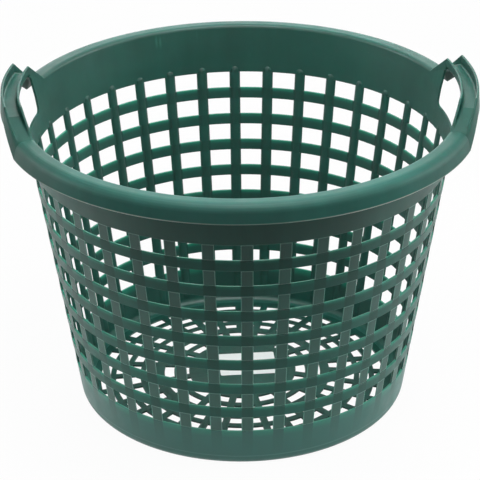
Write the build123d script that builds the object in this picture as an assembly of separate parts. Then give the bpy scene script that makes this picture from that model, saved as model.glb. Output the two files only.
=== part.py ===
from build123d import *
import os
from math import cos, pi, radians, sin, tan

# Round garden basket moulded in plastic: slotted base, open lattice wall, rolled rim and two raised handles.
# Millimetres, +Z up, origin at the centre of the underside, handles on +X and -X, front towards -Y.

# Wall. Radii are those of the wall surface: hoops and bands lie outside it and ribs mostly inside it.
base_radius = 162.0  # wall surface at the floor
wall_angle = 8.41  # lean of the wall away from upright, degrees
wall_thickness = 2.2  # hoops and bands, measured level
edge_rounding = 0.8  # edges of hoops and bands

# Lattice of the wall. The rows of openings share the height that the bands and hoops leave.
lower_band_top = 41.5  # bottom edge of the lowest row of openings
upper_band_height = 38.4  # from the top row of openings to the foot of the rim
row_count = 8  # rows of openings
hoop_height = 11.65
rib_count = 36
rib_width = 11.2
rib_depth = 1.2  # crest of the ribs' domed inner side, inside the wall surface
rib_seat = 1.9  # outside the wall surface, between the hoops
rib_edge = 0.4  # thickness of the ribs at their sides, where the dome begins
rib_lap = 8.0  # reach of the ribs' round tops over the upper band

# Base: a flat raised middle, and a slope down to the foot ring at the wall.
base_thickness = 1.9
base_rise = 7.0  # underside of the middle above the floor
flat_radius = 50.0  # flat middle
corner_rounding = 8.5  # outside radius where the base turns up into the wall
first_slot_radius = 54.9  # inner edge of the first slotted ring
slot_width = 9.8  # across each slotted ring
slot_pitch = 15.3  # from one slotted ring to the next
spoke_width = 7.0  # bars between the slots
inner_ring_count = 2  # slotted rings next to the middle
inner_slot_count = 16  # slots in each inner ring
solid_ring_width = 9.8  # plain ring between the inner and outer slotted rings
outer_slot_count = 32  # slots in each outer ring
edge_strip = 4.5  # least plain width left at the edge of the base plate

# Rolled rim, an inverted channel on top of the wall.
rim_top = 306.4  # crest of the rim above the floor
rim_height = 12.0  # foot to crest
rim_width = 17.1  # across the crest
rim_wall = 2.3
rim_drop = 16.5  # crest to lower edge of the skirt
skirt_flare = 4.2  # how much further out the skirt's lower edge is than its top
rim_inner_rounding = 4.0
rim_outer_rounding = 9.5

# Handles: a level troughed grip between two legs that run down into the rim.
grip_half_angle = 13.7  # degrees each side of the X axis
leg_angle = 7.9  # degrees covered by each leg
leg_steps = 4  # straight stretches of each leg
handle_rise = 22.8  # rim crest to the top of the grip's outer wall
inner_wall_drop = 1.7  # how much lower the top of the grip's inner wall is
handle_width = 17.4  # across the grip's walls at their top
trough_depth = 10.1  # below the top of the outer wall
trough_rounding = 2.5
grip_drop = 16.8  # height of the grip's outer wall
grip_flare = 1.2  # how much further out the grip's lower edge is than its top
grip_edge_rounding = 4.0  # lower inside edge of the grip
channel_rounding = 2.0  # inside corners of the channel under the grip
hand_hole_spread = 0.8  # degrees that the hand hole reaches into each leg
hand_hole_height = 38.2
hand_hole_lip = 0.5  # how far the legs' walls reach below the grip at the hand hole
hand_hole_corner = 5.0  # lower corners
hand_hole_shoulder = 2.7  # upper corners

# Blank paper label stuck on the base.
label_length = 58.0
label_width = 43.0
label_thickness = 0.15
label_corner = 2.0
label_x = 5.5
label_y = 9.5
label_turn = 3.0  # degrees

# Heights and radii that follow from the sizes above.
rim_foot = rim_top - rim_height
upper_band_bottom = rim_foot - upper_band_height
row_pitch = (upper_band_bottom - lower_band_top + hoop_height) / row_count
opening_height = row_pitch - hoop_height
grip_top = rim_top + handle_rise
trough_floor = grip_top - trough_depth
grip_underside = trough_floor - rim_wall
hand_hole_top = grip_underside - hand_hole_lip
hand_hole_bottom = grip_underside - hand_hole_height
corner_height = base_thickness + corner_rounding
plate_radius = base_radius - corner_rounding
middle_top = base_rise + base_thickness


def wall_radius(height):
    """Radius of the wall surface at a height above the floor."""
    return base_radius + height * tan(radians(wall_angle))


def turned(outline, roundings, start=0, arc=360):
    """Solid of revolution about Z of a closed outline of (radius, height) corners, each with its rounding."""
    profile = make_face(FilletPolyline(*outline, radius=roundings, close=True))
    return Rot(Z=start) * revolve(Plane.XZ * profile, Axis.Z, arc)


# Base


def slotted_ring(inner_radius, count, turn):
    """Flat ring of slots with straight bars of one width between them."""
    ring = Circle(inner_radius + slot_width) - Circle(inner_radius)
    bar = Pos(X=plate_radius / 2) * Rectangle(plate_radius, spoke_width)
    return ring - [Rot(Z=turn + step * 360 / count) * bar for step in range(count)]


def make_base_plate():
    """Disc with a flat raised middle and two groups of slotted rings in its slope."""
    outline = [
        (0, base_rise),
        (flat_radius, base_rise),
        (plate_radius, 0),
        (plate_radius, base_thickness),
        (flat_radius, middle_top),
        (0, middle_top),
    ]
    inner_end = first_slot_radius + (inner_ring_count - 1) * slot_pitch + slot_width
    outer_start = inner_end + solid_ring_width
    outer_ring_count = 1 + int((plate_radius - edge_strip - slot_width - outer_start) / slot_pitch)
    inner_turn = 180 / inner_slot_count
    rings = [
        slotted_ring(first_slot_radius + step * slot_pitch, inner_slot_count, inner_turn)
        for step in range(inner_ring_count)
    ]
    rings += [
        slotted_ring(outer_start + step * slot_pitch, outer_slot_count, 0)
        for step in range(outer_ring_count)
    ]
    return turned(outline, 0) - [extrude(ring, middle_top) for ring in rings]


def make_base_corner():
    """Ring that turns from the base plate up into the wall, rounded inside and outside."""
    outline = [
        (plate_radius, 0),
        (wall_radius(0) + wall_thickness, 0),
        (wall_radius(corner_height) + wall_thickness, corner_height),
        (wall_radius(corner_height), corner_height),
        (wall_radius(base_thickness), base_thickness),
        (plate_radius, base_thickness),
    ]
    inside_rounding = max(corner_rounding - base_thickness, 0)
    return turned(outline, [0, corner_rounding, 0, 0, inside_rounding, 0])


def make_label():
    """Blank paper label lying on the middle of the base plate."""
    place = Pos(label_x, label_y, middle_top) * Rot(Z=label_turn)
    return place * extrude(RectangleRounded(label_length, label_width, label_corner), label_thickness)


# Lattice wall


def wall_band(bottom, top, bottom_rounding, top_rounding):
    """Closed band of the wall between two heights."""
    outline = [
        (wall_radius(bottom), bottom),
        (wall_radius(bottom) + wall_thickness, bottom),
        (wall_radius(top) + wall_thickness, top),
        (wall_radius(top), top),
    ]
    return turned(outline, [bottom_rounding, bottom_rounding, top_rounding, top_rounding])


def make_hoops(rounding):
    """Hoops between the rows of openings, from the lowest up, with one rounding on all edges."""
    bottoms = [lower_band_top + opening_height + step * row_pitch for step in range(row_count - 1)]
    return [wall_band(bottom, bottom + hoop_height, rounding, rounding) for bottom in bottoms]


def make_rib(square_hoops):
    """Rib at +X that leans with the wall, domed inside and round at its top, notched for the hoops.

    It fills the wall only between the two bands, and lies inside the wall surface at the bands themselves.
    """
    lean = radians(wall_angle)
    inward = Vector(-cos(lean), 0, sin(lean))
    length = (upper_band_bottom + rib_lap) / cos(lean) - rib_width / 2
    top_centre = Vector(base_radius, 0, 0) + Vector(sin(lean), 0, cos(lean)) * length
    across = Plane(top_centre, x_dir=(0, -1, 0), z_dir=(-sin(lean), 0, -cos(lean)))
    half_width = rib_width / 2
    side = -max(rib_seat - rib_edge, 0)
    outside = -2 * rib_seat
    dome = ThreePointArc((-half_width, side), (0, rib_depth), (half_width, side))
    rest = Polyline((half_width, side), (half_width, outside), (-half_width, outside), (-half_width, side))
    profile = make_face([dome, rest])
    half_profile = profile & Pos(X=rib_width) * Rectangle(2 * rib_width, 4 * rib_width)
    round_top = revolve(across * half_profile, Axis(top_centre, inward), 360)
    bar = extrude(across * profile, length) + round_top
    room = [
        (0, base_thickness),
        (plate_radius, base_thickness),
        (wall_radius(corner_height), corner_height),
        (wall_radius(lower_band_top), lower_band_top),
        (wall_radius(lower_band_top) + rib_seat, lower_band_top),
        (wall_radius(upper_band_bottom) + rib_seat, upper_band_bottom),
        (wall_radius(upper_band_bottom), upper_band_bottom),
        (wall_radius(rim_foot), rim_foot),
        (0, rim_foot),
    ]
    return (bar & turned(room, 0)) - square_hoops


def rib_group(rib, first, count):
    """Ribs next to each other round the wall, counted from the rib at +X towards +Y."""
    turns = [(first + step) * 360 / rib_count for step in range(count)]
    return Compound(children=[Rot(Z=turn) * rib for turn in turns])


# Rim and handles. Their cross-sections are chains of stations: a point, and the control point of the curve
# to the next station, or None where a straight line follows. The two chains match station by station.


def rounded_corner(before, corner, after, radius, parts):
    """Stations that round a corner off as equal parts of an arc."""
    back = (before - corner).normalized()
    ahead = (after - corner).normalized()
    half = radians(back.get_angle(ahead)) / 2
    centre = corner + (back + ahead).normalized() * (radius / sin(half))
    start = corner + back * (radius / tan(half))
    end = corner + ahead * (radius / tan(half))
    part = (pi - 2 * half) / parts

    def spoke(turn):
        return (start - centre) * cos(turn) - back * (radius * sin(turn))

    arc = []
    for step in range(parts):
        control = centre + spoke((step + 0.5) * part) * (1 / cos(part / 2))
        arc.append((centre + spoke(step * part), control))
    return arc + [(end, None)]


def straight(start, end):
    """Station of a straight stretch that faces a curved one in the other chain."""
    return (start, (start + end) / 2)


def rounded_edge(start, end, bulge):
    """Station of a wall's free edge, domed up or down by the bulge."""
    return (start, (start + end) / 2 + Vector(0, bulge))


def channel_corners(skirt_inside, under_outer, under_inner, foot_outside, outer_radius, inner_radius):
    """Stations of the two inside corners of the channel under the rim or the grip."""
    outer = rounded_corner(skirt_inside, under_outer, under_inner, outer_radius, 2)
    inner = rounded_corner(under_outer, under_inner, foot_outside, inner_radius, 2)
    return outer + inner


def rim_stations():
    """Cross-section of the plain rim."""
    outer_radius = wall_radius(rim_top) + rim_width
    inner_rounding = min(rim_inner_rounding, 0.38 * rim_width)
    outer_rounding = min(rim_outer_rounding, 0.57 * rim_width)
    foot = Vector(wall_radius(rim_foot), rim_foot)
    inner_top = Vector(wall_radius(rim_top), rim_top)
    outer_top = Vector(outer_radius, rim_top)
    skirt = Vector(outer_radius + skirt_flare, rim_top - rim_drop)
    skirt_inside = skirt - Vector(rim_wall, 0)
    under_outer = Vector(outer_radius - rim_wall, rim_top - rim_wall)
    under_inner = Vector(wall_radius(rim_top - rim_wall) + wall_thickness, rim_top - rim_wall)
    foot_outside = foot + Vector(wall_thickness, 0)
    inner_arc = rounded_corner(foot, inner_top, outer_top, inner_rounding, 3)
    outer_arc = rounded_corner(inner_top, outer_top, skirt, outer_rounding, 5)
    crest_start = inner_arc[-1][0]
    floor_start = crest_start + (outer_arc[0][0] - crest_start) / 4
    return [
        (foot, None),
        *inner_arc[:-1],
        straight(crest_start, floor_start),
        (floor_start, None),
        *outer_arc,
        rounded_edge(skirt, skirt_inside, -rim_wall / 2),
        (skirt_inside, None),
        *channel_corners(
            skirt_inside,
            under_outer,
            under_inner,
            foot_outside,
            max(outer_rounding - rim_wall, edge_rounding),
            max(inner_rounding - rim_wall, edge_rounding),
        ),
        (foot_outside, None),
    ]


def grip_stations(hanging):
    """Cross-section of the grip, a trough between two walls.

    It stands on the wall of the basket where a leg meets it, and hangs free over the hand hole.
    """
    foot = Vector(wall_radius(rim_foot), rim_foot)
    foot_outside = foot + Vector(wall_thickness, 0)
    across = Vector(rim_wall, 0)
    outer_slope = Vector(-grip_flare / grip_drop, 1)
    inner_top = Vector(wall_radius(grip_top), grip_top - inner_wall_drop)
    inner_knee = Vector(inner_top.X, grip_underside)
    outer_top = Vector(wall_radius(grip_top) + handle_width, grip_top)
    inner_corner = Vector(inner_top.X, trough_floor) + across
    outer_corner = outer_top - outer_slope * trough_depth - across
    inner_depth = trough_depth - inner_wall_drop
    rounding = min(trough_rounding, 0.45 * (outer_corner - inner_corner).X, 0.8 * inner_depth)
    inner_side = inner_corner + Vector(0, rounding)
    outer_side = outer_corner + outer_slope * rounding
    floor_start = inner_corner + Vector(rounding, 0)
    floor_end = outer_corner - Vector(rounding, 0)
    bottom = outer_top - outer_slope * grip_drop
    under_outer = outer_top - outer_slope * (grip_top - grip_underside) - across
    under_inner = inner_knee + Vector(wall_thickness, 0)
    trough = [
        rounded_edge(inner_top, inner_top + across, rim_wall / 2),
        straight(inner_top + across, inner_side),
        (inner_side, inner_corner),
        (floor_start, None),
        straight(floor_start + (floor_end - floor_start) * 0.8, floor_end),
        (floor_end, outer_corner),
        straight(outer_side, outer_top - across),
        rounded_edge(outer_top - across, outer_top, rim_wall / 2),
        straight(outer_top, outer_top - outer_slope * trough_depth / 2),
        (outer_top - outer_slope * trough_depth / 2, None),
        rounded_edge(bottom, bottom - across, -rim_wall / 2),
        (bottom - across, None),
    ]
    if hanging:
        lower_edge = rounded_corner(under_outer, inner_knee, inner_top, grip_edge_rounding, 2)
        channel = rounded_corner(bottom - across, under_outer, inner_knee, channel_rounding, 2)
        return lower_edge + trough + channel
    corners = channel_corners(
        bottom - across, under_outer, under_inner, foot_outside, channel_rounding, channel_rounding
    )
    return [(foot, None), straight(inner_knee, inner_top), *trough, *corners, (foot_outside, None)]


def section(stations):
    """Upright cross-section at +X from its chain of stations."""
    edges = []
    for (start, control), (end, following) in zip(stations, stations[1:] + stations[:1]):
        edges.append(Bezier(start, control, end) if control else Line(start, end))
    return Plane.XZ * make_face(edges)


def leg_stations(share):
    """Cross-section of a leg that goes from the rim's, at share 0, to the grip's, at share 1."""
    stations = []
    for (rim_point, rim_control), (grip_point, grip_control) in zip(rim_stations(), grip_stations(False)):
        point = rim_point + (grip_point - rim_point) * share
        control = rim_control and rim_control + (grip_control - rim_control) * share
        stations.append((point, control))
    return stations


def make_rim_half():
    """Back half of the rim, between the back legs of the two handles."""
    start = grip_half_angle + leg_angle
    return Rot(Z=start) * revolve(section(rim_stations()), Axis.Z, 180 - 2 * start)


def make_leg(hand_hole):
    """Back leg of the handle at +X, from the grip down to the rim."""
    sections = []
    for step in range(leg_steps + 1):
        share = step / leg_steps
        sections.append(Rot(Z=grip_half_angle + share * leg_angle) * section(leg_stations(1 - share)))
    return loft(sections, ruled=True) - hand_hole


def make_hand_hole():
    """Space of the hand hole at +X below the grip, with rounded corners."""
    inside = wall_radius(hand_hole_bottom) - wall_thickness
    outside = wall_radius(grip_top) + handle_width / 2
    outline = [
        (inside, hand_hole_bottom),
        (outside, hand_hole_bottom),
        (outside, hand_hole_top),
        (inside, hand_hole_top),
    ]
    half_angle = grip_half_angle + hand_hole_spread
    space = turned(outline, 0, -half_angle, 2 * half_angle)
    space = fillet(space.edges().filter_by(GeomType.LINE).group_by(Axis.Z)[0], hand_hole_corner)
    return fillet(space.edges().filter_by(GeomType.LINE).group_by(Axis.Z)[-1], hand_hole_shoulder)


def make_grip():
    """Level grip at +X over the hand hole."""
    return Rot(Z=-grip_half_angle) * revolve(section(grip_stations(True)), Axis.Z, 2 * grip_half_angle)


rounding = min(edge_rounding, 0.4 * wall_thickness)
base_corner = make_base_corner()
lower_band = wall_band(corner_height, lower_band_top, 0, rounding)
hoops = make_hoops(rounding)
upper_band = wall_band(upper_band_bottom, rim_foot, rounding, 0)
rib = make_rib(make_hoops(0))
hand_hole = make_hand_hole()
grip = make_grip()
leg = make_leg(hand_hole)
rim_half = make_rim_half()
half_turn = Rot(Z=180)

nodes = {
    "base_plate": make_base_plate(),
    "base_corner": base_corner,
    "lower_band": lower_band,
    "upper_band": upper_band - [hand_hole, half_turn * hand_hole],
    "rim_back": rim_half,
    "rim_front": half_turn * rim_half,
    "right_grip": grip,
    "right_leg_back": leg,
    "right_leg_front": mirror(leg, about=Plane.XZ),
    "left_grip": half_turn * grip,
    "left_leg_back": mirror(leg, about=Plane.YZ),
    "left_leg_front": half_turn * leg,
    "label": make_label(),
}
for number, hoop in enumerate(hoops, start=1):
    nodes[f"hoop_{number}"] = hoop
side_count = rib_count // 4
first_rib = -(side_count // 2)
for step, side in enumerate(["right", "back", "left", "front"]):
    nodes[f"ribs_{side}"] = rib_group(rib, first_rib + step * side_count, side_count)

os.makedirs("parts", exist_ok=True)
for name, shape in nodes.items():
    export_step(shape, f"parts/{name}.step")
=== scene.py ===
"""Round garden basket of dark green moulded plastic, on a plain pale floor."""
from math import cos, pi, radians, sin

import bpy
from mathutils import Matrix, Vector

# Camera, in metres and degrees: where it stands, which way it looks and its lens.
CAMERA_PLACE = (-0.04615, -1.77828, 1.07334)
CAMERA_TURN = 1.4500  # from +Y towards +X
CAMERA_DIP = 27.2334  # below level
CAMERA_ROLL = -0.5411
CAMERA_LENS = 150.52  # mm
SENSOR_WIDTH = 36.0  # mm

# Colours, linear.
DEEP_GREEN = (0.009, 0.088, 0.066, 1)
LIGHT_GREEN = (0.013, 0.116, 0.088, 1)
OUTER_GREEN = (0.009, 0.096, 0.073, 1)
LIGHT_OUTER_GREEN = (0.013, 0.126, 0.097, 1)
# Painted light: lighter green on the outer faces of the foot and lower band, for light thrown up from the
# floor.
FOOT_BOUNCE_LIGHT_GREEN = (0.018, 0.148, 0.122, 1)
# Painted highlight: lighter green on the rim's top and outer faces, fading towards the handles.
RIM_HIGHLIGHT_GREEN = (0.012, 0.125, 0.098, 1)
RIM_HIGHLIGHT_PALE_GREEN = (0.016, 0.154, 0.122, 1)
# Painted shade: darker green for the base plate, for the dimmer light at the bottom of the basket.
BASE_SHADE_GREEN = (0.007, 0.050, 0.038, 1)
WORN_GREEN = (0.040, 0.190, 0.150, 1)
# Painted glow along the top edges of the hoops and the lower band.
PAINTED_GLOW_GREEN = (0.012, 0.285, 0.185, 1)
EDGE_HIGHLIGHT_GREEN = (0.200, 0.430, 0.370, 1)
# Painted shade where a rib or hoop lies behind a thin wall.
PAINTED_SHADE_GREEN = (0.006, 0.040, 0.030, 1)
# Painted glint along the rim's lower edge.
GLINT_GREY = (0.700, 0.740, 0.690, 1)
PAPER_WHITE = (0.88, 0.90, 0.90, 1)
PAPER_SHADE = (0.78, 0.80, 0.79, 1)
FLOOR_COLOUR = (0.86, 0.86, 0.86, 1)
# Painted shade on the floor's camera side.
FRONT_FLOOR_SHADE = (0.15, 0.15, 0.15, 1)

# The lattice, in metres: a thin wall gets painted shade where a rib or hoop lies behind it, for the light it
# no longer lets through.
RIB_COUNT = 36
RIB_HALF_ANGLE = radians(1.7)
HOOP_START = 0.06394  # middle of the lowest hoop
HOOP_PITCH = 0.02827
HOOP_HALF_HEIGHT = 0.0058
HOOP_TOP = HOOP_START + HOOP_HALF_HEIGHT
TOP_MARGIN = 0.0005  # above a hoop, so that its upper face counts as its top
LOWER_BAND_TOP = 0.0415
SKIRT_EDGE = 0.2895  # lowest edge of the rim
BAR_EDGE = (0.90, 1.15)  # where the shade of a bar begins and ends to fade, in shares of its half width
RIB_SHADE = 0.35
HOOP_SHADE = 0.25
FOOT_SHADE = 0.30
FOOT_SHADE_HEIGHTS = (0.012, 0.042)  # the shade of the ribs begins and is full on the lower band

# Painted glow: bright green painted along the top edges of the hoops and the lower band, for light that
# shines through them.
HOOP_GLOW_REACH = 0.0055
BAND_GLOW_REACH = 0.009
OUTER_GLOW = 0.55  # on faces away from the axis, where it is 1 on faces towards the axis
GLOW_FACING = (-0.5, 0.5)

# Painted highlight along the edges of the openings.
EDGE_REACH = 0.0019
EDGE_BEND = (0.75, 0.985)  # agreement of the rounded and the flat normal, along an edge and off it
EDGE_FACING = (-0.2, 0.3)
EDGE_END = (0.2595, 0.2620)  # heights where they fade out, on the upper band

# Painted glint: a pale line along the rim's lower edge, for the light it catches. Strength at angles from the
# front, in radians.
GLINT_HALF_HEIGHT = 0.0016
GLINT_MIDDLE = (0.90, 0.35, pi - 0.45, pi - 0.10)
GLINT_SIDES = (0.25, 1.0, pi - 1.05, pi - 0.70)

# Short upright flow marks inside the back of the wall: angle from +Y towards +X in degrees, height in metres.
FLOW_MARKS = ((-23.5, 0.296), (-22.3, 0.295))
MARK_HALF_ANGLE = 0.6
MARK_HALF_HEIGHT = 0.009
MARK_STRENGTH = 0.75

# Plastic: shine of the faces towards the basket's axis, and what varies over a surface.
INNER_GLOSS = 0.45
INNER_ROUGHNESS = 0.41
OUTSIDE = (0.0, 0.5)  # how far a face turns away from the axis where its outer look begins and is full
OUTSIDE_AND_TOP = (-0.8, -0.3)
BASE_TOP = (-0.5, -0.2)
RIM_FADE = (0.65, 0.93)  # sideways share of the radius where the rim's painted highlight colour fades towards the handles
STREAK_STRETCH = (9.0, 1.0, 5.0)
PATCH_SCALE = 16.0
PATCH_SHARE, STREAK_SHARE = 0.6, 0.4
TINT_RANGE = (0.35, 0.65)
SCRATCH_STRETCH = (220.0, 220.0, 30.0)
SCRATCH_RANGE = (0.60, 0.72)
SCRATCH_DEPTH = 0.8  # of the grain's
SMUDGE_SCALE = 70.0
SMUDGE_ROUGHNESS = 0.05
WEAR_ROUGHNESS = 0.12
SCATTER_RADIUS = (0.25, 1.0, 0.7)
SCATTER_SCALE = 0.0008
GRAIN_SCALE, GRAIN_STRENGTH, GRAIN_DEPTH = 1500.0, 0.12, 0.0004
WAVE_SCALE, WAVE_STRENGTH, WAVE_DEPTH = 28.0, 0.25, 0.002

# Label paper.
FIBRE_STRETCH = (1.0, 2.5, 1.0)
FIBRE_SCALE, FIBRE_STRENGTH, FIBRE_DEPTH = 700.0, 0.2, 0.0002
FIBRE_RANGE = (0.4, 0.75)
FIBRE_SHARE = 0.5  # of the darker paper colour, at most
PAPER_PATCH_SCALE = 300.0
PAPER_ROUGHNESS = (0.5, 0.65)

# Floor and background.
FLOOR_HALF = 6.0
FLOOR_GAP = 0.0003  # below the underside, so that the two faces don't coincide
FLOOR_FADE = (-0.20, -0.55)  # y where the floor's painted shade begins towards the camera, and where it is full
FLOOR_GLOW = 0.96
FRONT_GLOW = 0.30  # of the floor's glow, seen in reflections of its front part with painted shade
EVEN_LIGHT = 0.10  # that the white background throws on the scene

# Lamps: name, place, target, width in metres, power in watts, and for a low strip its height.
LAMPS = (
    ("key", (0.04, -0.12, 0.95), (0, 0, 0), 0.6, 5.2),
    ("top", (0.5, -0.35, 1.75), (0, 0, 0.2), 1.6, 8),
    ("back", (0.0, 1.7, 0.8), (0, 0, 0.2), 1.4, 12),
    ("left", (-1.6, 0.2, 0.7), (0, 0, 0.2), 0.9, 8),
    ("right", (1.6, 0.1, 0.7), (0, 0, 0.2), 0.9, 11),
    ("low_front", (0.0, -0.34, 0.03), (0, 0, 0.03), 0.7, 0.18, 0.04),
    ("low_left", (-0.33, -0.10, 0.03), (0, 0, 0.03), 0.4, 0.08, 0.04),
    ("low_right", (0.33, -0.10, 0.03), (0, 0, 0.03), 0.4, 0.08, 0.04),
)


def new_material(name):
    """Empty node material with its tree and output."""
    material = bpy.data.materials.new(name)
    material.use_nodes = True
    tree = material.node_tree
    tree.nodes.clear()
    output = tree.nodes.new("ShaderNodeOutputMaterial")
    return material, tree, output


def connect(tree, value, socket):
    """Link a socket, or set a plain value."""
    if isinstance(value, bpy.types.NodeSocket):
        tree.links.new(value, socket)
    else:
        socket.default_value = value


def calc(tree, operation, first, second=0.0):
    """Result of one arithmetic step."""
    node = tree.nodes.new("ShaderNodeMath")
    node.operation = operation
    connect(tree, first, node.inputs[0])
    connect(tree, second, node.inputs[1])
    return node.outputs["Value"]


def multiply(tree, first, second):
    """Product of two values."""
    return calc(tree, "MULTIPLY", first, second)


def dot_product(tree, first, second):
    """Dot product of two vectors."""
    node = tree.nodes.new("ShaderNodeVectorMath")
    node.operation = "DOT_PRODUCT"
    tree.links.new(first, node.inputs[0])
    tree.links.new(second, node.inputs[1])
    return node.outputs["Value"]


def noise(tree, vector, scale, detail=3.0, roughness=0.5):
    """Noise texture as a grey value."""
    node = tree.nodes.new("ShaderNodeTexNoise")
    node.inputs["Scale"].default_value = scale
    node.inputs["Detail"].default_value = detail
    node.inputs["Roughness"].default_value = roughness
    tree.links.new(vector, node.inputs["Vector"])
    return node.outputs["Fac"]


def remap(tree, value, low, high, from_low=0.3, from_high=0.7, kind="LINEAR"):
    """Grey value stretched from one range to another, and held at its ends."""
    node = tree.nodes.new("ShaderNodeMapRange")
    node.interpolation_type = kind
    node.inputs["From Min"].default_value = from_low
    node.inputs["From Max"].default_value = from_high
    node.inputs["To Min"].default_value = low
    node.inputs["To Max"].default_value = high
    tree.links.new(value, node.inputs["Value"])
    return node.outputs["Result"]


def blend(tree, factor, first, second):
    """Colour between two colours."""
    node = tree.nodes.new("ShaderNodeMix")
    node.data_type = "RGBA"
    connect(tree, factor, node.inputs["Factor"])
    connect(tree, first, node.inputs["A"])
    connect(tree, second, node.inputs["B"])
    return node.outputs["Result"]


def stretched(tree, vector, scale):
    """Coordinates scaled along each axis."""
    node = tree.nodes.new("ShaderNodeMapping")
    node.inputs["Scale"].default_value = scale
    tree.links.new(vector, node.inputs["Vector"])
    return node.outputs["Vector"]


def relief(tree, height, strength, depth, normal=None):
    """Normal of a surface with fine relief, on top of another normal if there is one."""
    node = tree.nodes.new("ShaderNodeBump")
    node.inputs["Strength"].default_value = strength
    node.inputs["Distance"].default_value = depth
    tree.links.new(height, node.inputs["Height"])
    if normal:
        tree.links.new(normal, node.inputs["Normal"])
    return node.outputs["Normal"]


def round_the_axis(tree, place):
    """The wall unrolled: angle from +Y towards +X in radians, height, and both as one vector."""
    parts = tree.nodes.new("ShaderNodeSeparateXYZ")
    tree.links.new(place, parts.inputs["Vector"])
    angle = calc(tree, "ARCTAN2", parts.outputs["X"], parts.outputs["Y"])
    both = tree.nodes.new("ShaderNodeCombineXYZ")
    tree.links.new(angle, both.inputs["X"])
    tree.links.new(parts.outputs["Z"], both.inputs["Z"])
    return angle, parts.outputs["Z"], both.outputs["Vector"]


def near(tree, value, centre, half):
    """1 at the centre, falling smoothly to 0 at half a width to either side."""
    distance = calc(tree, "ABSOLUTE", calc(tree, "SUBTRACT", value, centre))
    return remap(tree, distance, 1.0, 0.0, 0.0, half, "SMOOTHSTEP")


def edge_share(tree, reach):
    """0 on open surfaces, up to 1 along edges."""
    soft = tree.nodes.new("ShaderNodeBevel")
    soft.samples = 8
    soft.inputs["Radius"].default_value = reach
    sharp = tree.nodes.new("ShaderNodeNewGeometry")
    agreement = dot_product(tree, soft.outputs["Normal"], sharp.outputs["Normal"])
    return remap(tree, agreement, 1.0, 0.0, *EDGE_BEND)


def facing_out(tree, place):
    """-1 on faces towards the basket's axis, 0 on level ones, 1 on faces away from the axis."""
    outward = tree.nodes.new("ShaderNodeVectorMath")
    outward.operation = "NORMALIZE"
    tree.links.new(stretched(tree, place, (1.0, 1.0, 0.0)), outward.inputs[0])
    normal = tree.nodes.new("ShaderNodeNewGeometry").outputs["Normal"]
    return dot_product(tree, outward.outputs["Vector"], normal)


def repeats(tree, value, start, pitch, half):
    """1 on bars that repeat along a value, with a soft edge."""
    steps = calc(tree, "DIVIDE", calc(tree, "SUBTRACT", value, start), pitch)
    offset = calc(tree, "ABSOLUTE", calc(tree, "SUBTRACT", steps, calc(tree, "ROUND", steps)))
    inner, outer = (share * half / pitch for share in BAR_EDGE)
    return remap(tree, offset, 1.0, 0.0, inner, outer, "SMOOTHSTEP")


def below_top(tree, height, top, reach):
    """1 at a top edge, falling smoothly to 0 at a reach below it."""
    return remap(tree, calc(tree, "SUBTRACT", top, height), 1.0, 0.0, 0.0, reach, "SMOOTHSTEP")


def below_hoop_tops(tree, height, reach):
    """1 at the top edge of each hoop, falling smoothly to 0 at a reach below it."""
    steps = calc(tree, "DIVIDE", calc(tree, "SUBTRACT", HOOP_TOP + TOP_MARGIN, height), HOOP_PITCH)
    return remap(tree, calc(tree, "FRACT", steps), 1.0, 0.0, 0.0, reach / HOOP_PITCH, "SMOOTHSTEP")


def moulded_tint(tree, place, unrolled):
    """0 to 1 in soft patches and streaks."""
    streaks = noise(tree, stretched(tree, unrolled, STREAK_STRETCH), 1.0, 4.0)
    patches = noise(tree, place, PATCH_SCALE)
    tint = calc(
        tree, "ADD", multiply(tree, patches, PATCH_SHARE), multiply(tree, streaks, STREAK_SHARE)
    )
    return remap(tree, tint, 0.0, 1.0, *TINT_RANGE)


def shade_lattice(tree, colour, backing, angle, height):
    """Colour with painted shade where a rib or hoop lies behind, and the share of painted glow along a top
    edge.
    """
    if backing == "hoops":
        bars = repeats(tree, height, HOOP_START, HOOP_PITCH, HOOP_HALF_HEIGHT)
        return blend(tree, multiply(tree, bars, HOOP_SHADE), colour, PAINTED_SHADE_GREEN), None
    if backing == "ribs":
        shade = RIB_SHADE
        glow = below_hoop_tops(tree, height, HOOP_GLOW_REACH)
    elif backing == "lower ribs":
        shade = remap(tree, height, 0.0, FOOT_SHADE, *FOOT_SHADE_HEIGHTS)
        glow = below_top(tree, height, LOWER_BAND_TOP, BAND_GLOW_REACH)
    else:
        return colour, None
    backed = repeats(tree, angle, 0.0, radians(360 / RIB_COUNT), RIB_HALF_ANGLE)
    colour = blend(tree, multiply(tree, backed, shade), colour, PAINTED_SHADE_GREEN)
    return colour, multiply(tree, glow, calc(tree, "SUBTRACT", 1.0, backed))


def add_flow_marks(tree, colour, angle, height):
    """Colour with the flow marks."""
    for at_angle, at_height in FLOW_MARKS:
        across = near(tree, angle, radians(at_angle), radians(MARK_HALF_ANGLE))
        mark = multiply(tree, across, near(tree, height, at_height, MARK_HALF_HEIGHT))
        colour = blend(tree, multiply(tree, mark, MARK_STRENGTH), colour, WORN_GREEN)
    return colour


def paint_glint(tree, colour, angle, height):
    """Colour with a painted glint, a pale line along the rim's lower edge, strongest to either side of the
    front.
    """
    turn = calc(tree, "ABSOLUTE", angle)
    strength = multiply(tree, remap(tree, turn, *GLINT_MIDDLE), remap(tree, turn, *GLINT_SIDES))
    line = near(tree, height, SKIRT_EDGE, GLINT_HALF_HEIGHT)
    return blend(tree, multiply(tree, line, strength), colour, GLINT_GREY)


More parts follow.
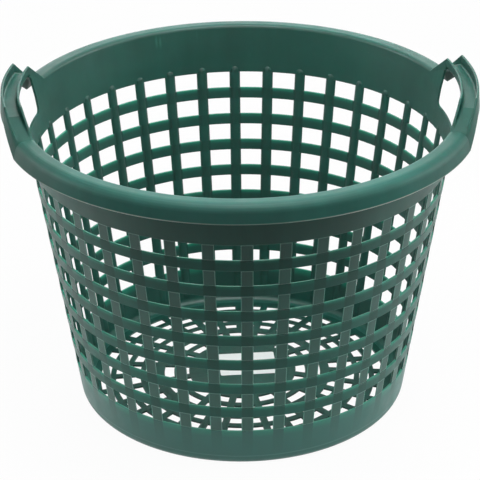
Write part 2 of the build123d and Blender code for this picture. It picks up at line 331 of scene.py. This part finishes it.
def plastic_material(name, deep, light, gloss, rough, scuffs, edge=0.0, backing=None, outside=OUTSIDE):
    """Dark green moulded plastic, satin, translucent where it is thin, with light scuffs.

    Faces towards the axis look alike on all pieces. The colours, gloss and roughness given are those
    of the other faces, some of them painted light. Edge is the strength of the painted highlight along edges,
    and backing says what lies behind, for painted shade and glow, or asks for the painted glint along the
    rim's lower edge.
    """
    material, tree, output = new_material(name)
    place = tree.nodes.new("ShaderNodeTexCoord").outputs["Object"]
    angle, height, unrolled = round_the_axis(tree, place)
    out = facing_out(tree, place)
    outer = remap(tree, out, 0.0, 1.0, *outside)
    scratches = noise(tree, stretched(tree, place, SCRATCH_STRETCH), 1.0, 5.0, 0.7)
    wear = multiply(tree, remap(tree, scratches, 0.0, 1.0, *SCRATCH_RANGE), scuffs)
    shader = tree.nodes.new("ShaderNodeBsdfPrincipled")

    # On the rim, the painted highlight colour fades towards the handles.
    own = outer
    if backing == "glint_line":
        sideways = calc(tree, "ABSOLUTE", calc(tree, "SINE", angle))
        own = multiply(tree, outer, remap(tree, sideways, 1.0, 0.0, *RIM_FADE))
    tint = moulded_tint(tree, place, unrolled)
    inner_colour = blend(tree, tint, DEEP_GREEN, LIGHT_GREEN)
    colour = blend(tree, own, inner_colour, blend(tree, tint, deep, light))
    colour, glow = shade_lattice(tree, colour, backing, angle, height)
    colour = add_flow_marks(tree, colour, angle, height)
    colour = blend(tree, wear, colour, WORN_GREEN)
    # Painted glow along the top edges, weaker on faces away from the axis.
    if glow:
        glow = multiply(tree, glow, remap(tree, out, 1.0, OUTER_GLOW, *GLOW_FACING))
        colour = blend(tree, glow, colour, PAINTED_GLOW_GREEN)
    # Painted highlight along the edges, mostly on faces away from the axis.
    if edge:
        share = multiply(tree, edge_share(tree, EDGE_REACH), remap(tree, out, 0.0, edge, *EDGE_FACING))
        share = multiply(tree, share, remap(tree, height, 1.0, 0.0, *EDGE_END))
        colour = blend(tree, share, colour, EDGE_HIGHLIGHT_GREEN)
    # Painted glint along the rim's lower edge.
    if backing == "glint_line":
        colour = paint_glint(tree, colour, angle, height)
    tree.links.new(colour, shader.inputs["Base Color"])

    smudges = noise(tree, place, SMUDGE_SCALE, 4.0)
    spread = remap(tree, smudges, -SMUDGE_ROUGHNESS, SMUDGE_ROUGHNESS)
    spread = calc(tree, "ADD", spread, remap(tree, outer, INNER_ROUGHNESS, rough, 0.0, 1.0))
    spread = calc(tree, "ADD", spread, multiply(tree, wear, WEAR_ROUGHNESS))
    tree.links.new(spread, shader.inputs["Roughness"])
    shader.inputs["Specular IOR Level"].default_value = gloss
    if gloss != INNER_GLOSS:
        shine = remap(tree, outer, INNER_GLOSS, gloss, 0.0, 1.0)
        tree.links.new(shine, shader.inputs["Specular IOR Level"])
    shader.inputs["Subsurface Weight"].default_value = 1.0
    shader.inputs["Subsurface Radius"].default_value = SCATTER_RADIUS
    shader.inputs["Subsurface Scale"].default_value = SCATTER_SCALE

    waves = relief(tree, noise(tree, place, WAVE_SCALE, 2.0), WAVE_STRENGTH, WAVE_DEPTH)
    scored = multiply(tree, scratches, SCRATCH_DEPTH)
    grain = calc(tree, "ADD", noise(tree, place, GRAIN_SCALE, 2.0), scored)
    normal = relief(tree, grain, GRAIN_STRENGTH, GRAIN_DEPTH, waves)
    tree.links.new(normal, shader.inputs["Normal"])
    tree.links.new(shader.outputs["BSDF"], output.inputs["Surface"])
    return material


def paper_material():
    """Blank white label paper with faint fibres."""
    material, tree, output = new_material("label_paper_white")
    place = tree.nodes.new("ShaderNodeTexCoord").outputs["Object"]
    shader = tree.nodes.new("ShaderNodeBsdfPrincipled")
    fibres = noise(tree, stretched(tree, place, FIBRE_STRETCH), FIBRE_SCALE, 5.0, 0.65)
    share = remap(tree, fibres, 0.0, FIBRE_SHARE, *FIBRE_RANGE)
    tree.links.new(blend(tree, share, PAPER_WHITE, PAPER_SHADE), shader.inputs["Base Color"])
    patches = noise(tree, place, PAPER_PATCH_SCALE)
    tree.links.new(remap(tree, patches, *PAPER_ROUGHNESS), shader.inputs["Roughness"])
    normal = relief(tree, fibres, FIBRE_STRENGTH, FIBRE_DEPTH)
    tree.links.new(normal, shader.inputs["Normal"])
    tree.links.new(shader.outputs["BSDF"], output.inputs["Surface"])
    return material


def seen_directly(tree):
    """1 for rays that come from the camera, a reflection or a transmission, else 0."""
    path = tree.nodes.new("ShaderNodeLightPath")
    total = path.outputs["Is Camera Ray"]
    for name in ("Is Glossy Ray", "Is Transmission Ray"):
        total = calc(tree, "MAXIMUM", total, path.outputs[name])
    return total


def make_world():
    """White background, and a dimmer even light from all round."""
    world = bpy.data.worlds.new("studio")
    bpy.context.scene.world = world
    world.use_nodes = True
    tree = world.node_tree
    tree.nodes.clear()
    output = tree.nodes.new("ShaderNodeOutputWorld")
    light = tree.nodes.new("ShaderNodeBackground")
    light.inputs["Color"].default_value = (1, 1, 1, 1)
    strength = remap(tree, seen_directly(tree), EVEN_LIGHT, 1.0, 0.0, 1.0)
    tree.links.new(strength, light.inputs["Strength"])
    tree.links.new(light.outputs["Background"], output.inputs["Surface"])


def floor_material():
    """Pale floor that keeps a soft shadow, with painted shade on the camera's side, seen mostly in light
    bounced off it and in reflections.
    """
    material, tree, output = new_material("floor_pale")
    parts = tree.nodes.new("ShaderNodeSeparateXYZ")
    tree.links.new(tree.nodes.new("ShaderNodeTexCoord").outputs["Object"], parts.inputs["Vector"])
    fade_start, fade_end = FLOOR_FADE
    front = remap(tree, parts.outputs["Y"], 1.0, 0.0, fade_end, fade_start)
    diffuse = tree.nodes.new("ShaderNodeBsdfDiffuse")
    tree.links.new(blend(tree, front, FLOOR_COLOUR, FRONT_FLOOR_SHADE), diffuse.inputs["Color"])
    path = tree.nodes.new("ShaderNodeLightPath")
    reflected = multiply(tree, front, path.outputs["Is Glossy Ray"])
    glow = tree.nodes.new("ShaderNodeEmission")
    tree.links.new(remap(tree, reflected, 1.0, FRONT_GLOW, 0.0, 1.0), glow.inputs["Strength"])
    mix = tree.nodes.new("ShaderNodeMixShader")
    tree.links.new(multiply(tree, seen_directly(tree), FLOOR_GLOW), mix.inputs["Fac"])
    tree.links.new(diffuse.outputs["BSDF"], mix.inputs[1])
    tree.links.new(glow.outputs["Emission"], mix.inputs[2])
    tree.links.new(mix.outputs["Shader"], output.inputs["Surface"])
    return material


def make_floor():
    """Large level floor just under the basket."""
    mesh = bpy.data.meshes.new("floor")
    signs = ((-1, -1), (1, -1), (1, 1), (-1, 1))
    corners = [(x * FLOOR_HALF, y * FLOOR_HALF, -FLOOR_GAP) for x, y in signs]
    mesh.from_pydata(corners, [], [(0, 1, 2, 3)])
    floor = bpy.data.objects.new("floor", mesh)
    bpy.context.collection.objects.link(floor)
    mesh.materials.append(floor_material())


def area_light(name, place, target, size, power, height=None):
    """Soft square light at a place, aimed at a target. With a height, a strip that no reflection shows."""
    data = bpy.data.lights.new(name, "AREA")
    data.size = size
    if height:
        data.shape = "RECTANGLE"
        data.size_y = height
    data.energy = power
    lamp = bpy.data.objects.new(name, data)
    lamp.location = place
    lamp.visible_camera = False
    lamp.visible_glossy = not height
    lamp.rotation_euler = (Vector(target) - Vector(place)).to_track_quat("-Z", "Y").to_euler()
    bpy.context.collection.objects.link(lamp)


def make_camera():
    """Camera at the photograph's view."""
    turn, dip, roll = radians(CAMERA_TURN), radians(CAMERA_DIP), radians(CAMERA_ROLL)
    ahead = Vector((sin(turn) * cos(dip), cos(turn) * cos(dip), -sin(dip)))
    level_right = Vector((cos(turn), -sin(turn), 0))
    level_up = level_right.cross(ahead)
    right = cos(roll) * level_right + sin(roll) * level_up
    up = cos(roll) * level_up - sin(roll) * level_right
    data = bpy.data.cameras.new("camera")
    data.lens = CAMERA_LENS
    data.sensor_width = SENSOR_WIDTH
    camera = bpy.data.objects.new("camera", data)
    axes = Matrix((right, up, -ahead)).transposed().to_4x4()
    camera.matrix_world = Matrix.Translation(CAMERA_PLACE) @ axes
    bpy.context.collection.objects.link(camera)
    bpy.context.scene.camera = camera


def make_looks():
    """Material of each piece, by a word in the piece's name."""
    # Foot and lower band: painted floor light on their outer faces.
    foot = plastic_material(
        "green_moulding_foot", FOOT_BOUNCE_LIGHT_GREEN, FOOT_BOUNCE_LIGHT_GREEN,
        gloss=0.50, rough=0.41, scuffs=0.10, edge=0.4, backing="lower ribs",
    )
    handles = plastic_material(
        "green_moulding_handles", DEEP_GREEN, LIGHT_GREEN,
        gloss=0.22, rough=0.48, scuffs=0.20, outside=OUTSIDE_AND_TOP,
    )
    return {
        "label": paper_material(),
        "base_corner": foot,
        "lower_band": foot,
        "grip": handles,
        "leg": handles,
        "upper_band": plastic_material(
            "green_moulding_band", DEEP_GREEN, LIGHT_GREEN,
            gloss=INNER_GLOSS, rough=INNER_ROUGHNESS, scuffs=0.10, edge=0.6,
        ),
        "hoop": plastic_material(
            "green_moulding_hoops", OUTER_GREEN, LIGHT_OUTER_GREEN,
            gloss=0.30, rough=0.41, scuffs=0.10, edge=0.5, backing="ribs",
        ),
        "ribs": plastic_material(
            "green_moulding_ribs", DEEP_GREEN, LIGHT_GREEN,
            gloss=0.56, rough=0.41, scuffs=0.08, edge=0.9, backing="hoops",
        ),
        # Rim: painted highlight colour on its top and outer faces.
        "rim": plastic_material(
            "green_moulding_rim", RIM_HIGHLIGHT_GREEN, RIM_HIGHLIGHT_PALE_GREEN,
            # Painted glint along the rim's lower edge.
            gloss=0.26, rough=0.48, scuffs=0.20, backing="glint_line", outside=OUTSIDE_AND_TOP,
        ),
        # Base plate: darker green as painted shade.
        "base_plate": plastic_material(
            "green_moulding_base", BASE_SHADE_GREEN, DEEP_GREEN,
            gloss=0.20, rough=0.48, scuffs=0.20, outside=BASE_TOP,
        ),
    }


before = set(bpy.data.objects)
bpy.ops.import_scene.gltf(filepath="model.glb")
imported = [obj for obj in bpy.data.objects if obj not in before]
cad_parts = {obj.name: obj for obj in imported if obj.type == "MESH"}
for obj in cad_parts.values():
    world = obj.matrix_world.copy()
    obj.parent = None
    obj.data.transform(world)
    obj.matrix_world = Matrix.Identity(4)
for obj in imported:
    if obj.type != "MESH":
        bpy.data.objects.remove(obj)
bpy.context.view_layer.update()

looks = make_looks()
for name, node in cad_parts.items():
    node.material_slots[0].material = next(look for word, look in looks.items() if word in name)

make_world()
make_floor()
for lamp in LAMPS:
    area_light(*lamp)
make_camera()
bpy.context.scene.view_settings.view_transform = "Standard"
